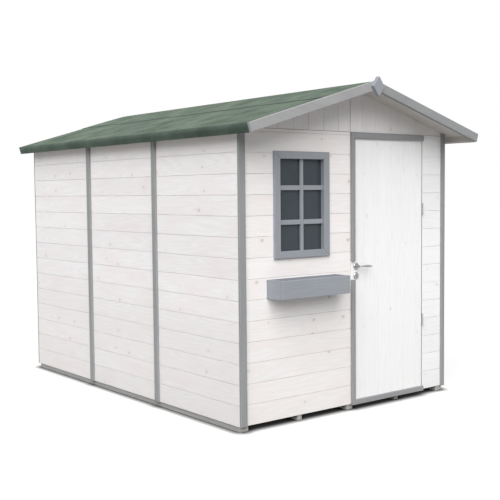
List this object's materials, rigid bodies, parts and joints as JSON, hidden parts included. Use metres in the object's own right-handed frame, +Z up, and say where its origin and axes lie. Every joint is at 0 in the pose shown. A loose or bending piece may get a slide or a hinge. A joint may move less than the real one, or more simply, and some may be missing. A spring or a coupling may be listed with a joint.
{
  "type": "wooden garden shed",
  "caption": "Clad timber garden shed with a felted saddle roof, a front door with a lever handle, a small window with an empty flower box, and strips over the panel joints.",
  "frame": {"origin": "middle of the clad footprint, on the ground under the floor bearers", "axes": "+X along the front from the window to the door's hinge side, +Y from the front to the back, +Z up"},
  "size_m": [2.1932, 3.341, 2.3187],
  "materials": {
    "whitewashed_cladding": "matte whitewash over spruce",
    "grey_painted_trim": "matte blue-grey stain",
    "bare_frame_timber": "planed and bare",
    "treated_bearer_timber": "sawn and pressure treated",
    "green_roof_felt": "mineral grit",
    "window_pane": "smooth",
    "satin_lock_metal": "satin",
    "hinge_steel": "zinc plated"
  },
  "bodies": {
    "shed": {"back_gable_panels": "whitewashed_cladding", "back_wall_panels": "whitewashed_cladding", "back_wall_strips": "grey_painted_trim", "bargeboard_left": "grey_painted_trim", "bargeboard_right": "grey_painted_trim", "felt_back_fold": "green_roof_felt", "felt_left": "green_roof_felt", "felt_ridge_cap": "green_roof_felt", "felt_right": "green_roof_felt", "finial": "grey_painted_trim", "floor_bearers": "treated_bearer_timber", "floor_deck": "bare_frame_timber", "front_corner_strips": "grey_painted_trim", "front_gable_panels": "whitewashed_cladding", "front_hinge_panel": "whitewashed_cladding", "front_window_panel": "whitewashed_cladding", "gable_rails": "bare_frame_timber", "hinge_wall_leaves": "hinge_steel", "left_wall_cover_strips": "grey_painted_trim", "left_wall_front_panel": "whitewashed_cladding", "left_wall_middle_panel": "whitewashed_cladding", "left_wall_rear_panel": "whitewashed_cladding", "right_wall_cover_strips": "grey_painted_trim", "right_wall_front_panel": "whitewashed_cladding", "right_wall_middle_panel": "whitewashed_cladding", "right_wall_rear_panel": "whitewashed_cladding", "roof_beams": "bare_frame_timber", "roof_deck_left": "whitewashed_cladding", "roof_deck_right": "whitewashed_cladding", "roof_edge_boards": "bare_frame_timber", "wall_plates": "bare_frame_timber", "wall_studs": "bare_frame_timber", "window_box_ends": "grey_painted_trim", "window_box_floor": "grey_painted_trim", "window_box_long_boards": "grey_painted_trim", "window_casing_rails": "grey_painted_trim", "window_casing_stiles": "grey_painted_trim", "window_glass": "window_pane", "window_sash": "grey_painted_trim"},
    "door": {"door_leaf": "whitewashed_cladding", "door_ledges": "bare_frame_timber", "door_latch_strip": "grey_painted_trim", "door_cross_strips": "grey_painted_trim", "hinge_door_leaves": "hinge_steel", "lock_roses": "satin_lock_metal"},
    "lever": {"handle_lever": "satin_lock_metal"}
  },
  "joints": [
    {"name": "door_swing", "type": "hinge", "parent": "shed", "child": "door", "pos_m": [0.751, -1.488, 1], "axis": [0, 0, 1], "range_deg": [0, 110]},
    {"name": "handle_turn", "type": "hinge", "parent": "door", "child": "lever", "pos_m": [0.046, -1.482, 1.02], "axis": [0, 1, 0], "range_deg": [0, 45], "stiffness_Nm_per_rad": 2, "springref_deg": -28.65}
  ]
}
